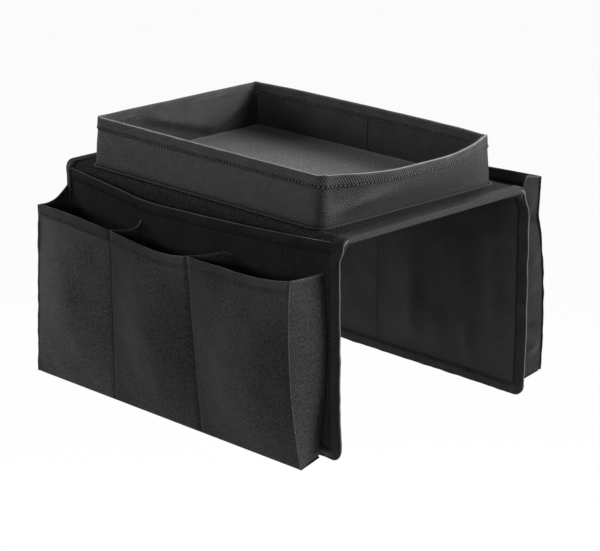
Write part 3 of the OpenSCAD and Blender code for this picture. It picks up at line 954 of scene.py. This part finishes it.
# Soft swellings of the rear flap's lining: x, z, reach along each, and height
rear_swells = (
    (45, -110, 10, 45, 2.2),
    (133, -45, 9, 14, 1.8),
    (107, -145, 6, 22, 1.5),
    (137, -100, 8, 30, 1.4),
)

# Magazine pocket: height of its mouth over the seat face, at shares of its width
mouth_heights = ((0, 0.2), (0.15, -1.6), (0.24, -3.8), (0.3, -6), (0.38, -6.6), (0.5, -5.2),
                 (0.72, -2.2), (0.9, 0.2), (1, 1))


def magazine_stand(x, z):
    """How far the panel stands off the flap."""
    t = clamp((z + magazine_reach) / magazine_reach)
    across = (x + magazine_half) / (2 * magazine_half)
    return magazine_gape * bow(across) * t**1.5


def magazine_at(u, v):
    x = mix(-magazine_half, magazine_half, u)
    z = mix(magazine_foot, curve(mouth_heights, u), v)
    wave = 0.35 * ripple(x, 0, z, 40, 6) * bow(u) * smooth(v * 5)
    shoulder = smooth((z + 4) / 8)
    y = -half_y - cloth_t - cloth_gap - magazine_stand(x, z) - wave + 0.6 * shoulder
    return drawn(x, z, front_draw), y, z


def hem_of(place, leg, height):
    """A tape folded over the top edge of a cloth, v from its outer hem to its inner one."""

    def folded(u, v):
        inset, lift = fold(v, leg, cloth_t + 2 * hem_t, hem_crown)
        here, _, out = normal_at(place, u, clamp(1 + min(lift, 0) / height))
        here = here + out * (hem_t + hem_stand - inset)
        return here.x, here.y, here.z + max(lift, 0)

    return folded


def build_magazine():
    flat = (2 * magazine_half, -magazine_foot)
    lay("magazine_cloth", (120, 70), flat, magazine_at, panel_paint, front_bend,
        ["magazine_pocket"], held="hung")
    hem = hem_of(magazine_at, tape_w, -magazine_foot)
    strip = (2 * magazine_half, mouth_strip)
    bind(("magazine_mouth_tape", "magazine_mouth_stitches"), (120, 16), strip, hem, lip_paint, front_bend,
         "magazine_binding", ["magazine_cloth"], hem_t, soft=0, thick=0.6)


# Gusseted pockets, laid as the front ones


class Pockets:
    """A row of pockets: corner values of x and depth, the height of the foot, and for each face the
    bow and sag of its mouth and how far to the right it is fullest. A post is a divider or end: the
    shares of the row's width at which it stands at the foot and at the mouth, and its mouth height."""

    bulge = (0, 0)
    fullness = 0
    slump = ((0, 0), (1, 0))

    def __init__(self, **sizes):
        self.__dict__.update(sizes)

    def share(self, k, v):
        return mix(*self.posts[k][:2], v)

    def deep(self, u, v):
        """Distance of the faces from the flap, before each one's own swell."""
        full = self.fullness + self.bulge[1] * u**4
        return patch(self.depth, u, v) + curve(self.slump, v) + full * hang(v)

    def across(self, u, v):
        return patch(self.x, u, v) + self.bulge[0] * u**4 * hang(v)

    def face(self, k):
        width = self.width(k)

        def place(s, v):
            u = mix(self.share(k, v), self.share(k + 1, v), s)
            turned = s ** self.fullest[k]
            swell = hang(turned) * (self.mouths[k] * v * v + self.belly * hang(v))
            near = min(s if k else 1, 1 - s if k + 2 < len(self.posts) else 1) * width
            pinch = seam_pinch * (1 - smooth(near / 2.8))
            wave = 1.1 * ripple(u * 300, k, v * 150, 50, 8 + k)
            wave += 0.4 * ripple(u * 300 + v * 60, k, v * 150, 18, 3 + k)
            wave *= smooth(near / 12) * hang(s) ** 0.3 * hang(v) ** 0.3
            y = -(self.plane + self.deep(u, v) + swell + wave - pinch)
            mouth = mix(self.posts[k][2], self.posts[k + 1][2], s)
            z = mix(self.foot, mouth, v) - self.sags[k] * hang(turned) * v
            return self.across(u, v), y, z

        return place

    def fin(self, k):
        """The seam allowance standing out along a post, u across it."""
        last = len(self.posts) - 1
        toward = {0: -1, last: 1}.get(k, 0)
        face = self.face(min(k, last - 1))
        s = 0 if k < last else 1

        def place(u, v):
            x, y, z = face(s, v)
            reach = seam_reach * math.sin(math.pi * u) * (0.8 + 0.4 * ripple(x, 0, z, 9, 5 + k))
            lean = 0.5 * ripple(x, 0, z, 25, 1 + k)
            side = (u - 0.5) * 1.6 + lean
            return x + side + toward * reach, y + gap - reach, z

        return place

    def width(self, k):
        return (self.x[1][1] - self.x[1][0]) * (self.share(k + 1, 1) - self.share(k, 1))

    def height(self):
        return self.posts[0][2] - self.foot

    def web(self, k, flap_x, crest, panel, outward, folds=()):
        """The wall from the flap to the faces at a post. Its crest gives the rise of its top edge at
        shares of the way out from the flap. v runs up, as seen from the side it faces, which is the
        right one where outward is 1."""
        mouth = self.posts[k][2]

        def place(s, v):
            d = clamp(1 - s if outward > 0 else s)
            top = mouth + curve(crest, d)
            z = mix(self.foot + cloth_t + self.climb * (1 - d), top, v)
            u = self.share(k, v)
            x = mix(mix(*flap_x[:2], v) + flap_x[2] * hang(v), self.across(u, v), d)
            puff = 0.9 * hang(d) * hang(v) + 0.4 * ripple(d * 40, u, z, 30, 2) * hang(d)
            for middle_d, middle_z, reach_d, reach_z, height in folds:
                puff += height * bump(d, middle_d, reach_d) * bump(z, middle_z, reach_z) * hang(d)
            x += outward * puff
            stand = magazine_stand(x, z) + 0.6 if panel else -0.8
            at = clamp(v * (top - self.foot) / (mouth - self.foot))
            far = self.plane + self.deep(u, at) - cloth_t * 0.6
            if 0 < k < len(self.posts) - 1:
                far -= seam_pinch
            return x, -mix(self.plane + stand, far, d), z

        return place


front = Pockets(
    x=((front_left - 6, front_right + 1.8), (front_left, front_right)),
    depth=((30.9, 27.5), (28.4, 36.2)),
    foot=front_low - 1,
    posts=((0, 0, -27.7), (0.31, 0.302, -30.8), (0.643, 0.613, -30.8), (1, 1, -23.5)),
    mouths=(3, -3.6, -4.2),
    sags=(-3, 5.6, 4.9),
    fullest=(1, 1.25, 1.3),
    belly=9,
    climb=1,
    plane=half_y + cloth_t + 0.24,
    bulge=(-1, 4.5),
)
rear_half = half_x - tape_w - 1
rear = Pockets(
    x=((-rear_half, rear_half),) * 2,
    depth=((33.5, 33.5), (27.8, 27.8)),
    foot=rear_low + tape_w + 3,
    posts=((0, 0, 6), (0.5, 0.5, 2.5), (1, 1, 6.6)),
    mouths=(1.45, 1.45),
    sags=(1.5, 1.5),
    fullest=(1, 1),
    belly=3,
    climb=-5,
    plane=half_y + 0.12,
    fullness=2.5,
    slump=((0, 0), (0.12, 1), (0.5, 0.6), (0.72, -2.2), (0.8, -4.8), (0.87, -3), (1, 0)),
)


def pocket_base(pockets, flap_ends):
    """The strip at the foot of the pockets, v up from the faces to the flap."""

    def place(u, v):
        d = 1 - v
        x0 = mix(flap_ends[0], pockets.x[0][0], d)
        x1 = mix(flap_ends[1], pockets.x[0][1], d)
        far = patch(pockets.depth, u, 0) - cloth_t
        foot = pockets.foot + 2 * gap + pockets.climb * (1 - d)
        return mix(x0, x1, u), -(pockets.plane + far * d), foot

    return place


def build_pockets(side, pockets, names, webs, ends, turn, paint, face_paints):
    """A row of pockets on a flap: its faces, the walls to the flap and the strip at its foot."""
    body = f"{side}_flap"
    height = pockets.height()
    for k, name in enumerate(names):
        place = turn(pockets.face(k))
        flat = (pockets.width(k), height)
        lay(f"{side}_pocket_cloth_{name}", (44, 60), flat, place, face_paints[k], body,
            [f"{side}_face_{name}"], held="hung")
        hem = hem_of(place, tape_w, height)
        strip = (pockets.width(k), mouth_strip)
        bind((f"{side}_mouth_tape_{name}", f"{side}_mouth_stitches_{name}"), (44, 16), strip, hem,
             mouth_paint, body, f"{side}_mouth_{name}", [f"{side}_pocket_cloth_{name}"], hem_leaf, soft=0)
    for name, k, *shape in webs:
        place = turn(pockets.web(k, *shape))
        flat = (patch(pockets.depth, pockets.share(k, 0.5), 0.5), height)
        web = lay(f"{side}_{name}_cloth", (24, 50), flat, place, paint, body, [f"{side}_{name}"])
        edge = lay(f"{side}_{name}_edge", (24, 8), (flat[0], edge_strip),
                   hem_of(place, edge_leg, height), fold_highlight_paint, body, thick=hem_leaf, soft=0)
        # Seam allowances at the ends get the painted highlight, those in the grooves between pockets the
        # painted shade
        fin_paint = fold_highlight_paint if k in (0, len(names)) else groove_shade_paint
        fin = lay(f"{side}_{name}_seam", (6, 60), (fin_strip, height), turn(pockets.fin(k)),
                  fin_paint, body, thick=fin_leaf, soft=0)
        declare(flat)
    flat = (pockets.x[0][1] - pockets.x[0][0], patch(pockets.depth, 0.5, 0))
    lay(f"{side}_pocket_foot_cloth", (60, 10), flat, turn(pocket_base(pockets, ends)), paint, body,
        [f"{side}_pocket_base"], held="hung")


line_1, line_2 = (mix(front_left, front_right, front.share(k, 1)) for k in (1, 2))
# Walls of the pockets: name, post, x on the flap at its foot and top with the bow between, crest,
# whether it stands over the magazine pocket, and the side that it faces
front_webs = (
    ("gusset_left", 0, (front_left, front_left + 2, 0),
     ((0, 12.3), (0.2, 7), (0.45, 2), (0.75, -0.2), (1, 0)), False, -1),
    ("divider_left", 1, (line_1, line_1 + 12, 0),
     ((0, 6.7), (0.12, 2), (0.3, -0.2), (0.6, -0.5), (1, 0)), True, 1),
    ("divider_right", 2, (line_2 + 20, line_2 + 26, 0),
     ((0, 0.5), (0.1, 2.8), (0.25, 3.2), (0.6, 1), (1, 0)), True, 1),
    ("gusset_right", 3, (front_right - 5.4, front_right + 1.5, 5.5),
     ((0, -0.5), (0.5, -0.8), (1, 0)), True, 1),
)
# Folds of the rear right end wall: share of the way out, z, reach along each, and height
rear_folds = (
    (0.75, -62, 0.35, 6, 3.4),
    (0.5, -84, 0.5, 5, 2.8),
    (0.6, -137, 0.5, 7, 5),
    (0.45, -121, 0.35, 4, -4),
    (0.75, -29, 0.3, 5, -3.4),
    (0.6, -12, 0.3, 7, 2.4),
)
rear_crest = ((0, -9.2), (0.14, -8.6), (0.2, -7.8), (0.27, -6.2), (0.31, -4), (0.36, 0.2),
              (0.43, 2.6), (0.52, 3), (0.7, 1.6), (1, 0))
rear_webs = (
    ("gusset_left", 0, (-rear_half, -rear_half, 0), rear_crest, False, -1),
    ("divider", 1, (0, 0, 0), ((0, -6), (0.2, -2.5), (0.6, -0.6), (1, 0)), False, 1),
    ("gusset_right", 2, (rear_half, rear_half, 0), rear_crest, False, 1, rear_folds),
)


def build_fillings():
    """The stiffening sheets and boards inside the cloth."""
    for side, foot, draw in (("front", front_low, front_draw), ("rear", rear_low, rear_draw)):
        low, high = node_box(f"{side}_flap_stiffener")
        flat = (high.x - low.x, high.z - low.z)

        def place(u, v):
            x, z = mix(low.x + 6 * gap, high.x - 6 * gap, u), mix(low.z + 6 * gap, high.z - 2 * gap, v)
            x, z = round_in(x, z, foot, 4)
            return drawn(x, z, draw), low.y + gap, z

        lay(f"{side}_flap_stiffening", (20, 12), flat, place, fibre_paint, f"{side}_flap",
            [f"{side}_flap_stiffener"], high.y - low.y - 2 * gap, held="hung")
    data = frame["nodes"]["tray_base_board"].data
    data.materials.clear()
    data.materials.append(board_paint)
    for side, length, end in zip(tray_side_names, tray_sides, corner_starts):

        def place(u, v):
            return wall_at(end - length * (1 - u), cloth_t + gap, mix(0.03, 0.97, v))

        lay(f"tray_board_{side}_bowed", (40, 6), (length, tray_h), place, board_paint, "saddle",
            [f"tray_board_{side}"], board_leaf)


# Stage: how white the camera sees the floor, light of the room, and the lamps: name, place, size
# and power
floor_white = 0.96
room_light = 0.06
lamps = (
    ("fill", (1.45, -1, 0.5), 0.7, 1.8),
    ("front", (0.5, -2.2, 0.42), 0.5, 18),
    ("left", (-2.3, -0.6, 0.9), 0.9, 44),
    ("right", (1.35, 1.2, 0.8), 1.1, 98),
    ("rear", (-0.7, 1.5, 0.9), 0.7, 18),
)


def build_stage():
    """Pale floor well below the flaps, white surroundings, and soft lamps."""
    mesh = bmesh.new()
    bmesh.ops.create_grid(mesh, x_segments=1, y_segments=1, size=60)
    bmesh.ops.translate(mesh, vec=(0, 0, -0.9), verts=mesh.verts[:])
    paint = Paint(bpy.data.materials.new("Pale floor"))
    seen = paint.add("ShaderNodeLightPath", output="Is Camera Ray")
    matt = paint.add("ShaderNodeBsdfDiffuse", {"Color": grey(0.8)})
    white = paint.add("ShaderNodeEmission", {"Color": grey(1), "Strength": 1})
    both = paint.add("ShaderNodeMixShader", [seen * floor_white, matt, white])
    paint.add("ShaderNodeOutputMaterial", {"Surface": both})
    new_piece("floor", mesh, paint.owner)

    world = bpy.data.worlds.new("White room")
    bpy.context.scene.world = world
    room = Paint(world)
    seen = room.add("ShaderNodeLightPath", output="Is Camera Ray")
    level = seen * (1 - room_light) + room_light
    back = room.add("ShaderNodeBackground", {"Color": grey(1), "Strength": level})
    room.add("ShaderNodeOutputWorld", {"Surface": back})

    for name, place, size, power in lamps:
        lamp = bpy.data.lights.new(f"{name}_softbox", "AREA")
        lamp.shape = "SQUARE"
        lamp.size = size
        lamp.energy = power
        holder = new_object(f"{name}_softbox", lamp)
        holder.location = place
        holder.rotation_euler = (-Vector(place)).to_track_quat("-Z", "Y").to_euler()


# Camera, fitted to the photograph: its place in millimetres, turn in degrees, and in pixels the
# size of the picture, the focal length and the point where the camera's axis meets the picture
camera_place = (1354.2, -1291.9, 512.7)
camera_turn = (46.1, 17.61, -0.3)
image_w, image_h = 600, 551
focal_px = 2354.6
axis_px = (301.16, 273.15)


def build_camera():
    azimuth, elevation, roll = (math.radians(a) for a in camera_turn)
    data = bpy.data.cameras.new("Camera")
    data.sensor_width = 36
    data.lens = focal_px / image_w * data.sensor_width
    data.shift_x = (image_w / 2 - axis_px[0]) / image_w
    data.shift_y = (axis_px[1] - image_h / 2) / image_w
    data.clip_start, data.clip_end = 0.05, 20
    camera = new_object("Camera", data)
    turn = Matrix.Rotation(azimuth, 4, "Z") @ Matrix.Rotation(math.pi / 2 - elevation, 4, "X")
    turn = Matrix.Translation(Vector(camera_place) * MM) @ turn @ Matrix.Rotation(roll, 4, "Z")
    camera.matrix_world = turn
    bpy.context.scene.camera = camera


build_camera()
build_stage()
build_foam()
build_top()
build_tray()
build_flap("front", front_low, front_draw, front_bend, lambda place: place, ())
build_flap("rear", rear_low, rear_draw, rear_bend, rearward, rear_swells, seam_x=2)
build_magazine()
build_pockets("front", front, ("left", "middle", "right"), front_webs, (front_left, front_right - 5.4),
              lambda place: place, face_paint, (lit_left_face_paint, face_paint, face_paint))
build_pockets("rear", rear, ("left", "right"), rear_webs, (-rear_half, rear_half), rearward,
              shaded_back_paint, (shaded_back_paint, shaded_back_paint))
build_fillings()

bpy.context.scene.view_settings.view_transform = "Standard"
